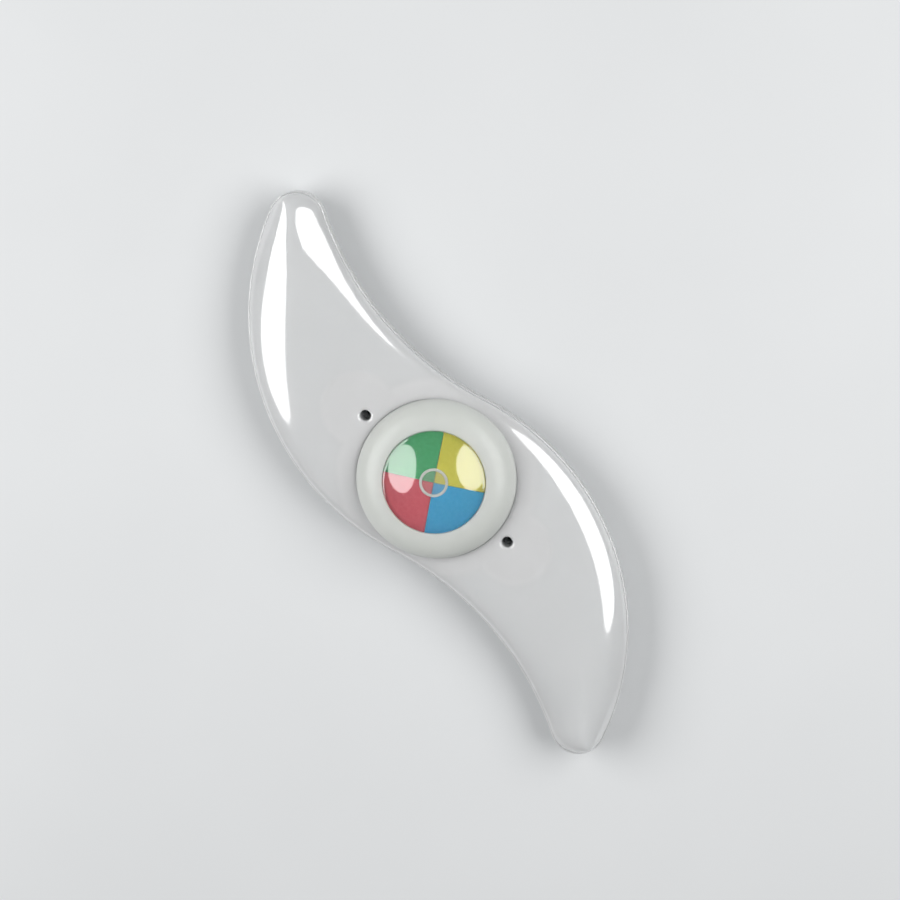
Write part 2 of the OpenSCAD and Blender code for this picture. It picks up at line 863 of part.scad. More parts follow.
module coin_cell() {
    color("silver")
        union() {
            bar(cell_r, cell_z, cell_top - cap_h);
            bar(cap_r, cell_z, cell_top);
        }
}

module cell_pad() {
    color("dimgray")
        bar(cap_r, core_z, cell_z - press_gap);
}

module positive_contact() {
    color("gold")
        rotate(contact_angle)
            translate([cell_r + strip_gap, -leaf_w / 2, ledge_z])
                cube([leaf_t, leaf_w, board_z - ledge_z]);
}

// Bent leaf from a pad under the board down to the cell's cap
module negative_contact() {
    low = leaf_l / 2 - leaf_pad;
    high = leaf_pad - leaf_l / 2;
    color("gold")
        rotate([90, 0, 0])
            linear_extrude(leaf_w, center = true)
                polygon([
                    [-leaf_l / 2, board_z],
                    [high, board_z],
                    [low, cell_top + leaf_t],
                    [leaf_l / 2, cell_top + leaf_t],
                    [leaf_l / 2, cell_top],
                    [low, cell_top],
                    [high, board_z - leaf_t],
                    [-leaf_l / 2, board_z - leaf_t]
                ]);
}

// Pan-head screws with a cross recess
module hub_screws() {
    slot_l = screw_d;
    slot_w = leaf_t;
    slot_deep = screw_head_h / 3;
    color("silver")
        at_screws()
            difference() {
                union() {
                    bar(screw_r, floor_z - screw_bite, board_top + screw_head_h / 2);
                    bar(head_r, board_top, board_top + screw_head_h);
                }
                for (turn = [0, 90])
                    rotate(turn)
                        translate([0, 0, board_top + screw_head_h - slot_deep])
                            brick(slot_l, slot_w, slot_deep + cut);
            }
}

module rear_lock_plate() {
    wing_c = [wing_reach - wing_w / 2, 0];
    wing_r = wing_w / 2;
    hip = asin(wing_r / cover_r);
    color([0.9, 0.92, 0.9, 0.95])
        difference() {
            union() {
                rotate(tie_angle)
                    linear_extrude(plate_t)
                        polygon(concat(
                            arc(wing_c, wing_r, -90, 90),
                            arc([0, 0], cover_r, hip, 180 - hip),
                            arc(-wing_c, wing_r, 90, 270),
                            arc([0, 0], cover_r, 180 + hip, 360 - hip)
                        ));
                bar(spigot_r, plate_t / 2, spigot_top);
                rotate(lug_angle)
                    translate([0, 0, lug_z])
                        difference() {
                            sectors(lug_r, lug_half, lug_t);
                            bar(spigot_r - spigot_wall / 2, -cut, lug_t + cut);
                        }
            }
            bar(spigot_in, core_z, spigot_top + cut);
            at_ties()
                bar(tie_r, -cut, plate_t + cut);
            rotate(lug_angle)
                translate([0, 0, -cut])
                    brick(coin_slot_l, coin_slot_w, coin_slot_deep + cut);
        }
}

module cover_seal() {
    color("dimgray")
        torus(seal_r, cover_seal_r, plate_t + cover_seal_r);
}

front_shell();
back_shell();
hub_bezel();
bezel_seal();
button_dome();
colour_disc();
green_field();
yellow_field();
blue_field();
red_field();
switch_case();
switch_cover();
switch_plunger();
switch_feet();
circuit_board();
control_chip();
resistors();
hub_leds();
arm_led_a();
arm_led_b();
led_leads();
battery_holder();
coin_cell();
cell_pad();
positive_contact();
negative_contact();
hub_screws();
rear_lock_plate();
cover_seal();
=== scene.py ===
"""Looks of the spoke wheel light: a milky leaf-shaped lamp lying on its lock plate, with its button up."""

import math

import bmesh
import bpy
from mathutils import Matrix, Vector


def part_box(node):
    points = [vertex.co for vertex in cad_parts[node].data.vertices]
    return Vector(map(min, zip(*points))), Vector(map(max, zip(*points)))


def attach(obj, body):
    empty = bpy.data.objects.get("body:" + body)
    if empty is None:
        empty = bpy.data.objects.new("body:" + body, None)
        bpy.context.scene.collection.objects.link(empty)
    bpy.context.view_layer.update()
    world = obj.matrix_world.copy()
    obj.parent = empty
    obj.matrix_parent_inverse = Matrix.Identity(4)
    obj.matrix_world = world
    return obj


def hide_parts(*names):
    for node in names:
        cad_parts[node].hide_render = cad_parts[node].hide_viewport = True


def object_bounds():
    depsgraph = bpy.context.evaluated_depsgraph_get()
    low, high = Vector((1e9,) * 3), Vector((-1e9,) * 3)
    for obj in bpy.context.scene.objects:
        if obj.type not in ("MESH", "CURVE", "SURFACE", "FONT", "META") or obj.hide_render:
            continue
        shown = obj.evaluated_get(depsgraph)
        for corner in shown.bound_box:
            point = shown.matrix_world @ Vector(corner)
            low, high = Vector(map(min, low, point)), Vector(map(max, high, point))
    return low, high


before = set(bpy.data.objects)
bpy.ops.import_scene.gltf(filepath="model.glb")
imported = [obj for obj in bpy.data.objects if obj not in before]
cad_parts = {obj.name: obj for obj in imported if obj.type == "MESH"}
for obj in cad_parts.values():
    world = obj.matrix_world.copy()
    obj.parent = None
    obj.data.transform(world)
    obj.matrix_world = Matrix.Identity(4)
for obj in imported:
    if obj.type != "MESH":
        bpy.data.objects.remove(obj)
cad_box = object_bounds()

MM = 0.001

# Leaf outline, as in the CAD model, in millimetres and degrees
LOBE_R = 54.0
LOBE_X = 21.6
LOBE_CROWN = cad_box[1].y / MM
TIP_R = 5.8
TIP_ANGLE = 37.2
WAIST_R = 66.0

# Shells
WALL = 1.4
RIM_H = 0.6
RIM_STEP = 0.3
RIM_ROUND = 0.2
RIM_EDGE = 0.06
RIDGE_HALF = 9.0
FLAT_HALF = 17.0
FRONT_POWERS = ((1.5, 1.3), (2.4, 2.4))
FRONT_SHOULDER = 12.0
BACK_POWERS = ((6.0, 6.0), (6.0, 6.0))
BACK_SHOULDER = 5.0
BACK_CROP = 0.6
BACK_SOFT = 0.25
FLOOR_T = 2.4
SEAM = 0.02

# Hub drum and collar
DRUM_IN = 14.8
DRUM_R = 16.2
DRUM_LAP = 0.4
SEAT_R = 16.55
WINDOW_W = 8.0
WINDOW_TOP = 10.1
RING_H = 4.6
RING_FACE_END = 84.0
LIP_R = 10.6
LIP_T = 1.1
LIP_ROUND = 0.2
FOOT_EDGE = 0.1
GUIDE_IN = 12.1
GUIDE_R = 13.0
GUIDE_DEEP = 1.9

# Button dome and the print under it
DOME_R = 10.5
DOME_RISE = 3.1
DOME_ROUND = 0.2
DOME_EDGE = 0.05
MARK_R = 2.5
MARK_W = 0.5
MARK_DEEP = 0.3
MARK_ROUND = 0.1
PAINT_BITE = 0.02
PRINT_BITE = 0.03
FROST_T = 0.04

# Tie holes, spoke grooves and bore
TIE_ANGLE = 20.6
TIE_REACH = 19.45
TIE_R = 1.1
TIE_BOSS_R = 2.0
TIE_BOSS_LAP = 0.2
TIE_FLARE = 0.6
GROOVE_R = 1.05
GROOVE_X = 22.006
GROOVE_Z = 3.45
GROOVE_HALF = 60.0
BORE_R = 11.4
ENTRY_R = 12.9
ENTRY_PLAY = 2.0

# Lock plate, and the painted paler zone of the front before it: painted see-through light over the plate,
# painted shade beyond
PLATE_T = 2.4
PLATE_ROUND = 0.45
COVER_R = 16.0
WING_W = 15.0
SPIGOT_R = 11.3
SPIGOT_IN = 10.2
CORE_Z = 4.2
LUG_R = 12.7
LUG_LAP = 0.5
LUG_HALF = 16.0
LUG_LOW = 5.9
LUG_HIGH = 7.0
SLOT_L = 16.0
SLOT_W = 1.8
SLOT_DEEP = 1.2
PAINTED_PALE_R = 20.5
PAINTED_PALE_BLUR = 0.8

# Meshes: how far cutters stand out of what they cut, how many steps a form has, and when an edge is sharp
CLEAR = 1.0
STATIONS = 240
ARCH_STEPS = 44
TURN_STEPS = 144
BAR_STEPS = 96
MOUTH_STEPS = 64
GROOVE_STEPS = 48
JOIN = 0.0001 * MM
SHARP = math.radians(32)

# Noise between these two values covers the whole of what it varies
NOISE_LOW = 0.3
NOISE_HIGH = 0.7

# Floor in millimetres, and the two soft lights in metres and watts
FLOOR_HALF = 3000.0
BOX_SIZE = (0.34, 0.5)
BOX_DISTANCE = 0.5
BOX_WATTS = 1.75

# View: image up and the side that the camera leans to, as directions on the lamp, in degrees
IMAGE_UP = 152.0
LEAN_SIDE = 117.0
LEAN = 11.0
LENS = 100.0
SENSOR = 36.0
PIXELS = 900
PIXELS_PER_MM = 4.86
HUB_PIXEL = (438.7, 475.9)


def low_z(node):
    """Lowest z of a CAD node in millimetres."""
    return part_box(node)[0].z / MM


def high_z(node):
    """Highest z of a CAD node in millimetres."""
    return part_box(node)[1].z / MM


# Sizes and heights that the frame gives
PART_Z = low_z("front_shell")
CROWN_Z = high_z("front_shell")
BACK_Z = low_z("back_shell")
FLOOR_Z = BACK_Z + FLOOR_T
SEAT_Z = low_z("hub_bezel")
RING_TOP = high_z("hub_bezel")
RING_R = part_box("hub_bezel")[1].x / MM
APEX = high_z("button_dome")
FIELD_TOP = high_z("green_field")
SPIGOT_TOP = high_z("rear_lock_plate")
WING_REACH = (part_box("rear_lock_plate")[1].x / MM - WING_W / 2) / math.cos(math.radians(TIE_ANGLE))


# Leaf outline
def polar(r, degrees):
    """Flat vector of that length and direction."""
    a = math.radians(degrees)
    return Vector((r * math.cos(a), r * math.sin(a)))


def touching_centre(p, a, q, b):
    """Centre of a circle at distance a from p and b from q, on the left of the way from p to q."""
    way = q - p
    gap = way.length
    along = way / gap
    t = (a * a - b * b + gap * gap) / (2 * gap)
    side = math.sqrt(a * a - t * t)
    return p + t * along + side * Vector((-along.y, along.x))


LOBE_C = Vector((LOBE_X, LOBE_CROWN - LOBE_R))
TIP_C = LOBE_C + polar(LOBE_R - TIP_R, TIP_ANGLE)
WAIST_C = touching_centre(TIP_C, TIP_R + WAIST_R, -LOBE_C, LOBE_R + WAIST_R)


def circle_y(c, r, x, side):
    """y of a circle at x, on its upper side for 1 and on its lower one for -1."""
    return c.y + side * math.sqrt(max(0.0, r * r - (x - c.x) ** 2))


def join_x(c, r, toward):
    """x of the point where a circle meets the next one, whose centre lies toward."""
    return (c + r * (toward - c).normalized()).x


def upper_y(x, inset):
    """Upper edge of the leaf at x, with the outline moved in by inset."""
    if x > LOBE_C.x + (LOBE_R - inset) * math.cos(math.radians(TIP_ANGLE)):
        return circle_y(TIP_C, TIP_R - inset, x, 1)
    if x > join_x(LOBE_C, LOBE_R - inset, -WAIST_C):
        return circle_y(LOBE_C, LOBE_R - inset, x, 1)
    if x > join_x(-TIP_C, TIP_R - inset, -WAIST_C):
        return circle_y(-WAIST_C, WAIST_R + inset, x, -1)
    return circle_y(-TIP_C, TIP_R - inset, x, 1)


def station(i, inset):
    """x, lower y and upper y of the leaf at station i."""
    x = -(TIP_C.x + TIP_R - inset) * math.cos(math.pi * i / STATIONS)
    return x, -upper_y(-x, inset), upper_y(x, inset)


def edge_loop(inset, z):
    """Closed loop of points round the leaf: out along the lower edge and back along the upper one."""
    rows = [station(i, inset) for i in range(STATIONS + 1)]
    lower = [(x, low, z) for x, low, _ in rows]
    upper = [(x, high, z) for x, _, high in rows[-2:0:-1]]
    return lower + upper


def arch_rows(inset, shoulder, powers, shape):
    """Rows of points across the leaf, one row a station.

    powers holds the roundness across and upwards, first along slim arms and then beside the hub.
    shape gives z from the arch's share of its full height.
    """
    rows = []
    for i in range(STATIONS + 1):
        x, low, high = station(i, inset)
        middle = (low + high) / 2
        half = (high - low) / 2
        slim = max(0.0, 1 - half / shoulder)
        full = math.sqrt(1 - slim * slim)
        wide = min(1.0, max(0.0, (half - RIDGE_HALF) / (FLAT_HALF - RIDGE_HALF)))
        wide = wide * wide * (3 - 2 * wide)
        power_across, power_up = (slim_arm + (hub - slim_arm) * wide for slim_arm, hub in zip(*powers))
        row = []
        for j in range(ARCH_STEPS + 1):
            a = math.pi * j / ARCH_STEPS
            c = math.cos(a)
            across = -math.copysign(abs(c) ** (2 / power_across), c)
            rise = 0.0 if j in (0, ARCH_STEPS) else full * math.sin(a) ** (2 / power_up)
            row.append((x, middle + half * across, shape(rise)))
        rows.append(row)
    return rows


def flat_rows(inset, z):
    """Rows of points across a flat leaf-shaped face."""
    return arch_rows(inset, BACK_SHOULDER, BACK_POWERS, lambda rise: z)


# Mesh building, in millimetres until the object is made
class Surface:
    """Collects points and faces of one closed surface."""

    def __init__(self):
        self.points = []
        self.faces = []

    def add(self, points):
        """Adds points and returns the place of the first."""
        start = len(self.points)
        self.points += points
        return start

    def grid(self, rows):
        """Faces between neighbouring rows of equal length."""
        width = len(rows[0])
        start = self.add([p for row in rows for p in row])
        for i in range(len(rows) - 1):
            for j in range(width - 1):
                a = start + i * width + j
                self.faces.append((a, a + 1, a + width + 1, a + width))

    def bands(self, loops):
        """Faces between neighbouring closed loops of equal length. Returns where each loop starts."""
        count = len(loops[0])
        starts = [self.add(loop) for loop in loops]
        for low, high in zip(starts, starts[1:]):
            for k in range(count):
                n = (k + 1) % count
                self.faces.append((low + k, low + n, high + n, high + k))
        return starts

    def cap(self, start, count):
        """One face over a closed loop."""
        self.faces.append(tuple(range(start, start + count)))

    def make(self, name):
        """The object, with equal points joined, its normals outward and its faces smooth."""
        mesh = bpy.data.meshes.new(name)
        mesh.from_pydata([Vector(p) * MM for p in self.points], [], self.faces)
        tidy(mesh)
        obj = bpy.data.objects.new(name, mesh)
        bpy.context.scene.collection.objects.link(obj)
        return obj


def tidy(mesh):
    """Joins equal points, drops faces without area, turns the normals outward and shades smoothly."""
    bm = bmesh.new()
    bm.from_mesh(mesh)
    bmesh.ops.remove_doubles(bm, verts=bm.verts, dist=JOIN)
    bmesh.ops.dissolve_degenerate(bm, edges=bm.edges, dist=JOIN)
    bmesh.ops.recalc_face_normals(bm, faces=bm.faces)
    bm.to_mesh(mesh)
    bm.free()
    smooth(mesh)


def smooth(mesh):
    """Smooth shading, apart from sharp edges."""
    mesh.polygons.foreach_set("use_smooth", [True] * len(mesh.polygons))
    mesh.set_sharp_from_angle(angle=SHARP)


def ellipse_arc(across, rise, centre, start, end, steps):
    """Points of an ellipse about centre, from the start angle to the end angle."""
    points = []
    for k in range(steps + 1):
        a = math.radians(start + (end - start) * k / steps)
        points.append((centre[0] + across * math.cos(a), centre[1] + rise * math.sin(a)))
    return points


def round_arc(r, centre, start, end, steps):
    """Points of a circle about centre, from the start angle to the end angle."""
    return ellipse_arc(r, r, centre, start, end, steps)


def lathe(name, profile, steps=TURN_STEPS, closed=True):
    """Solid of revolution about Z of a profile of (radius, z) points."""
    surface = Surface()
    ring = profile + profile[:1] if closed else profile
    rows = []
    for k in range(steps + 1):
        turn = 360 * (k % steps) / steps
        rows.append([(*polar(r, turn), z) for r, z in ring])
    surface.grid(rows)
    return surface.make(name)


def prism(name, loop, low, high):
    """Upright solid over a closed loop of (x, y) points."""
    surface = Surface()
    for start in surface.bands([[(x, y, z) for x, y in loop] for z in (low, high)]):
        surface.cap(start, len(loop))
    return surface.make(name)


def round_bar(name, r, low, high, at=(0.0, 0.0), steps=BAR_STEPS):
    """Upright cylinder."""
    return prism(name, round_arc(r, at, 0, 360, steps)[:-1], low, high)


def box_bar(name, length, width, low, high, turn=0.0):
    """Box centred on the hub axis and turned about it."""
    along = polar(length / 2, turn)
    across = polar(width / 2, turn + 90)
    loop = [i * along + j * across for i, j in ((-1, -1), (1, -1), (1, 1), (-1, 1))]
    return prism(name, loop, low, high)


def sector(name, r, middle, half, low, high, inner=0.0):
    """Sector of a disc about the hub axis, or of a ring when inner is given."""
    steps = 16
    hub = (0.0, 0.0)
    inner_arc = round_arc(inner, hub, middle + half, middle - half, steps) if inner else [hub]
    return prism(name, round_arc(r, hub, middle - half, middle + half, steps) + inner_arc, low, high)


def countersunk(name, r, low, high, flare, at):
    """Hole cutter that widens in a round at its upper end."""
    mouth = round_arc(flare, (r + flare, high - flare), 180, 90, steps=6)
    profile = [(0.0, low), (r, low), *mouth, (r + flare, high + CLEAR), (0.0, high + CLEAR)]
    obj = lathe(name, profile, steps=MOUTH_STEPS, closed=False)
    obj.data.transform(Matrix.Translation((at.x * MM, at.y * MM, 0)))
    return obj


def carve(obj, joins=(), cuts=()):
    """Joins and cuts helper solids into obj, then removes them."""
    for tools, operation in ((joins, "UNION"), (cuts, "DIFFERENCE")):
        for tool in tools:
            modifier = obj.modifiers.new(operation, "BOOLEAN")
            modifier.operation = operation
            modifier.solver = "MANIFOLD"
            modifier.object = tool
    graph = bpy.context.evaluated_depsgraph_get()
    mesh = bpy.data.meshes.new_from_object(obj.evaluated_get(graph))
    obj.modifiers.clear()
    old = obj.data
    obj.data = mesh
    bpy.data.meshes.remove(old)
    mesh.name = obj.name
    for tool in [*joins, *cuts]:
        bpy.data.meshes.remove(tool.data)
    tidy(mesh)
    return obj


# Pieces
def at_ties():
    """Places of the two tie holes."""
    return [polar(TIE_REACH, TIE_ANGLE), polar(TIE_REACH, TIE_ANGLE + 180)]


def make_front_shell():
    """Domed hollow front with a rounded rim band, the hub drum and the two tie bosses."""
    crown = CROWN_Z - PART_Z - RIM_H
    rim_z = PART_Z + RIM_H
    roof = CROWN_Z - WALL - PART_Z
    surface = Surface()
    surface.grid(arch_rows(RIM_STEP, FRONT_SHOULDER, FRONT_POWERS, lambda rise: rim_z + crown * rise))
    surface.grid(arch_rows(WALL, FRONT_SHOULDER, FRONT_POWERS, lambda rise: PART_Z + roof * rise))
    bead = round_arc(RIM_ROUND, (RIM_ROUND, rim_z - RIM_ROUND), 180, 90, steps=5)
    rim = [(WALL, PART_Z), (RIM_EDGE, PART_Z), (0.0, PART_Z + RIM_EDGE), *bead, (RIM_STEP, rim_z)]
    surface.bands([edge_loop(inset, z) for inset, z in rim])
    shell = surface.make("front_shell_form")
    inside = CROWN_Z - WALL / 2
    core = DRUM_IN - DRUM_LAP
    joins = [lathe("drum", [(core, PART_Z), (DRUM_R, PART_Z), (DRUM_R, inside), (core, inside)])]
    joins += [round_bar("boss", TIE_BOSS_R, PART_Z, inside, at) for at in at_ties()]
    cuts = [
        round_bar("bore", DRUM_IN, PART_Z - CLEAR, CROWN_Z + CLEAR, steps=TURN_STEPS),
        round_bar("seat", SEAT_R, SEAT_Z, CROWN_Z + CLEAR, steps=TURN_STEPS),
        box_bar("window", 2 * TIE_REACH, WINDOW_W, PART_Z - CLEAR, WINDOW_TOP),
    ]
    cuts += [countersunk("tie", TIE_R, PART_Z - CLEAR, CROWN_Z, TIE_FLARE, at) for at in at_ties()]
    return carve(shell, joins, cuts)


def make_back_shell():
    """Tray with rounded flanks and a flat back, with the bore, the tie holes and the spoke grooves."""
    top = PART_Z - SEAM
    depth = top - BACK_Z

    def flank(rise):
        """z of the outside, cropped flat at the back with a soft edge."""
        full = (depth + BACK_CROP) * rise
        blend = max(BACK_SOFT - abs(full - depth), 0.0) / BACK_SOFT
        return top - min(full, depth) + blend * blend * BACK_SOFT / 4

    surface = Surface()
    surface.grid(arch_rows(0.0, BACK_SHOULDER, BACK_POWERS, flank))
    surface.grid(flat_rows(WALL, FLOOR_Z))
    surface.bands([edge_loop(inset, z) for inset, z in ((0.0, top), (WALL, top), (WALL, FLOOR_Z))])
    shell = surface.make("back_shell_form")
    under, over = BACK_Z - CLEAR, FLOOR_Z + CLEAR
    joins = [round_bar("boss", TIE_BOSS_R, FLOOR_Z - TIE_BOSS_LAP, top, at) for at in at_ties()]
    cuts = [round_bar("bore", BORE_R, under, over, steps=TURN_STEPS)]
    for turn in (0, 180):
        cuts.append(sector("entry", ENTRY_R, TIE_ANGLE + turn, LUG_HALF + ENTRY_PLAY, under, over))
    cuts += [round_bar("tie", TIE_R, under, PART_Z + CLEAR, at) for at in at_ties()]
    for side in (-1, 1):
        groove = round_bar("groove", GROOVE_R, -GROOVE_HALF, GROOVE_HALF, steps=GROOVE_STEPS)
        groove.data.transform(Matrix.Rotation(math.pi / 2, 4, "X"))
        groove.data.transform(Matrix.Translation((side * GROOVE_X * MM, 0, GROOVE_Z * MM)))
        cuts.append(groove)
    return carve(shell, joins, cuts)


def make_collar():
    """Rounded milky collar from its seat in the front up to the button."""
    shoulder = (LIP_R, RING_TOP - RING_H)
    lip_z = RING_TOP - LIP_T
    guide_z = lip_z - GUIDE_DEEP
    foot_z = SEAT_Z + SEAM
    hollow_r = DRUM_IN - LIP_R
    guide_turn = math.degrees(math.acos((GUIDE_R - LIP_R) / hollow_r))
    foot = [(DRUM_IN, foot_z), (RING_R - FOOT_EDGE, foot_z), (RING_R, foot_z + FOOT_EDGE)]
    face = ellipse_arc(RING_R - LIP_R, RING_H, shoulder, 0, RING_FACE_END, steps=20)
    lip = round_arc(LIP_ROUND, (LIP_R + LIP_ROUND, RING_TOP - LIP_ROUND), 90, 180, steps=6)
    sleeve = [(LIP_R, lip_z), (GUIDE_IN, lip_z), (GUIDE_IN, guide_z), (GUIDE_R, guide_z)]
    hollow = ellipse_arc(hollow_r, RING_H - WALL, shoulder, guide_turn, 0, steps=20)
    return lathe("hub_collar_form", [*foot, *face, *lip, *sleeve, *hollow])


def make_dome():
    """Solid clear dome bonded to the colour fields, with the ring mark's groove in its underside."""
    ball = (DOME_R ** 2 + DOME_RISE ** 2) / (2 * DOME_RISE)
    ball_z = APEX - ball
    edge_r = DOME_R - DOME_ROUND
    steps = 32
    crown_r = [k / steps * edge_r for k in range(steps + 1)]
    crown = [(r, ball_z + math.sqrt(ball * ball - r * r)) for r in crown_r]
    edge_z = crown[-1][1]
    edge = round_arc(DOME_ROUND, (edge_r, edge_z - DOME_ROUND), 90, 0, steps=5)[1:]
    under = FIELD_TOP - PRINT_BITE
    foot = [(DOME_R, under + DOME_EDGE), (DOME_R - DOME_EDGE, under)]
    groove = [
        (MARK_R + MARK_W / 2, under),
        (MARK_R + MARK_W / 2, under + MARK_DEEP),
        (MARK_R - MARK_W / 2, under + MARK_DEEP),
        (MARK_R - MARK_W / 2, under),
    ]
    return lathe("button_dome_form", [*crown, *edge, *foot, *groove, (0.0, under)], closed=False)


def make_ring_mark():
    """Pale paint that fills the groove under the dome's middle and wets its walls."""
    low = FIELD_TOP - PRINT_BITE
    high = low + MARK_DEEP + PAINT_BITE
    outer = MARK_R + MARK_W / 2 + PAINT_BITE
    inner = MARK_R - MARK_W / 2 - PAINT_BITE
    outer_round = round_arc(MARK_ROUND, (outer - MARK_ROUND, high - MARK_ROUND), 0, 90, steps=6)
    inner_round = round_arc(MARK_ROUND, (inner + MARK_ROUND, high - MARK_ROUND), 90, 180, steps=6)
    return lathe("ring_mark", [(inner, low), (outer, low), *outer_round, *inner_round])


def make_frosted_spot():
    """Thin frosted lens inside the ring mark, which dulls the colours under it."""
    r = MARK_R - MARK_W / 2
    steps = 8
    low = FIELD_TOP + FROST_T / 2
    crown = [(r * k / steps, low + FROST_T * (1 - (k / steps) ** 2)) for k in range(steps + 1)]
    return lathe("frosted_spot", [*crown, (0.0, low)], closed=False)


def make_lock_plate():
    """Winged plate with rounded edges, a coin slot and the hollow spigot with its two lugs."""

    def outline(inset, z):
        """Loop round the plate: the end of a wing and the disc's side after it, then both again."""
        steps = 40
        r = COVER_R - inset
        w = WING_W / 2 - inset
        hip = math.degrees(math.asin(w / r))
        loop = []
        for turn in (TIE_ANGLE, TIE_ANGLE + 180):
            loop += round_arc(w, polar(WING_REACH, turn), turn - 90, turn + 90, steps)
            loop += round_arc(r, (0.0, 0.0), turn + hip, turn + 180 - hip, steps)
        return [(x, y, z) for x, y in loop]

    low = round_arc(PLATE_ROUND, (PLATE_ROUND, PLATE_ROUND), 270, 180, steps=5)
    high = [(inset, PLATE_T - z) for inset, z in reversed(low)]
    surface = Surface()
    loops = [outline(inset, z) for inset, z in low + high]
    starts = surface.bands(loops)
    surface.cap(starts[0], len(loops[0]))
    surface.cap(starts[-1], len(loops[0]))
    plate = surface.make("lock_plate_form")
    lug_middle = TIE_ANGLE + 90
    lug_in = SPIGOT_R - LUG_LAP
    joins = [round_bar("spigot", SPIGOT_R, PLATE_T / 2, SPIGOT_TOP, steps=TURN_STEPS)]
    for turn in (0, 180):
        joins.append(sector("lug", LUG_R, lug_middle + turn, LUG_HALF, LUG_LOW, LUG_HIGH, lug_in))
    cuts = [round_bar("well", SPIGOT_IN, CORE_Z, SPIGOT_TOP + CLEAR, steps=TURN_STEPS)]
    cuts += [round_bar("tie", TIE_R, -CLEAR, PLATE_T + CLEAR, at) for at in at_ties()]
    cuts.append(box_bar("slot", SLOT_L, SLOT_W, -SLOT_DEEP, SLOT_DEEP, lug_middle))
    return carve(plate, joins, cuts)


# Materials, with the sizes of their patterns in millimetres
def principled(name, **values):
    """New material with one Principled shader. Underscores in a name stand for spaces."""
    material = bpy.data.materials.new(name)
    material.use_nodes = True
    shader = material.node_tree.nodes["Principled BSDF"]
    for key, value in values.items():
        shader.inputs[key.replace("_", " ")].default_value = value
    return material, shader


def noise(material, size, detail=3.0):
    """Noise over the object, with features about size millimetres across."""
    nodes = material.node_tree.nodes
    where = nodes.new("ShaderNodeTexCoord")
    texture = nodes.new("ShaderNodeTexNoise")
    texture.inputs["Scale"].default_value = 1 / (size * MM)
    texture.inputs["Detail"].default_value = detail
    material.node_tree.links.new(where.outputs["Object"], texture.inputs["Vector"])
    return texture.outputs["Fac"]


def vary_colour(material, shader, low, high, size):
    """Base colour that wanders between two tones."""
    ramp = material.node_tree.nodes.new("ShaderNodeValToRGB")
    ramp.color_ramp.elements[0].position = NOISE_LOW
    ramp.color_ramp.elements[1].position = NOISE_HIGH
    ramp.color_ramp.elements[0].color = (*low, 1)
    ramp.color_ramp.elements[1].color = (*high, 1)
    links = material.node_tree.links
    links.new(noise(material, size), ramp.inputs["Fac"])
    links.new(ramp.outputs["Color"], shader.inputs["Base Color"])


def vary_roughness(material, shader, low, high, size):
    """Roughness that wanders between two values."""
    span = material.node_tree.nodes.new("ShaderNodeMapRange")
    span.inputs["From Min"].default_value = NOISE_LOW
    span.inputs["From Max"].default_value = NOISE_HIGH
    span.inputs["To Min"].default_value = low
    span.inputs["To Max"].default_value = high
    links = material.node_tree.links
    links.new(noise(material, size), span.inputs["Value"])
    links.new(span.outputs["Result"], shader.inputs["Roughness"])


def add_bump(material, shader, size, height, coat=False):
    """Surface relief of that height in millimetres."""
    bump = material.node_tree.nodes.new("ShaderNodeBump")
    bump.inputs["Strength"].default_value = 1.0
    bump.inputs["Distance"].default_value = height * MM
    links = material.node_tree.links
    links.new(noise(material, size, detail=2.0), bump.inputs["Height"])
    links.new(bump.outputs["Normal"], shader.inputs["Normal"])
    if coat:
        links.new(bump.outputs["Normal"], shader.inputs["Coat Normal"])


def milky_plastic(name, dark, light, see_through, blur=0.12, gloss=1.0):
    """Moulded plastic that scatters light and blurs what lies behind it, under a glossy skin."""
    material, shader = principled(
        name,
        IOR=1.46,
        Transmission_Weight=see_through,
        Subsurface_Weight=1.0,
        Subsurface_Radius=(1.0, 1.0, 1.0),
        Subsurface_Scale=2.2 * MM,
        Coat_Weight=gloss,
        Coat_Roughness=0.05,
        Coat_IOR=1.9,
    )
    vary_colour(material, shader, dark, light, size=9)
    vary_roughness(material, shader, blur, blur + 0.06, size=4)
    add_bump(material, shader, size=7, height=0.02, coat=True)
    return material


def calculate(material, operation, *values):
    """Result of a Math node, whose inputs are sockets or numbers."""
    node = material.node_tree.nodes.new("ShaderNodeMath")
    node.operation = operation
    for value, socket in zip(values, node.inputs):
        if isinstance(value, bpy.types.NodeSocket):
            material.node_tree.links.new(value, socket)
        else:
            socket.default_value = value
    return node.outputs["Value"]


def flat_length(material, x, y):
    """Length of the flat vector that two sockets give."""
    nodes, links = material.node_tree.nodes, material.node_tree.links
    flat = nodes.new("ShaderNodeCombineXYZ")
    length = nodes.new("ShaderNodeVectorMath")
    length.operation = "LENGTH"
    links.new(x, flat.inputs["X"])
    links.new(y, flat.inputs["Y"])
    links.new(flat.outputs["Vector"], length.inputs[0])
    return length.outputs["Value"]


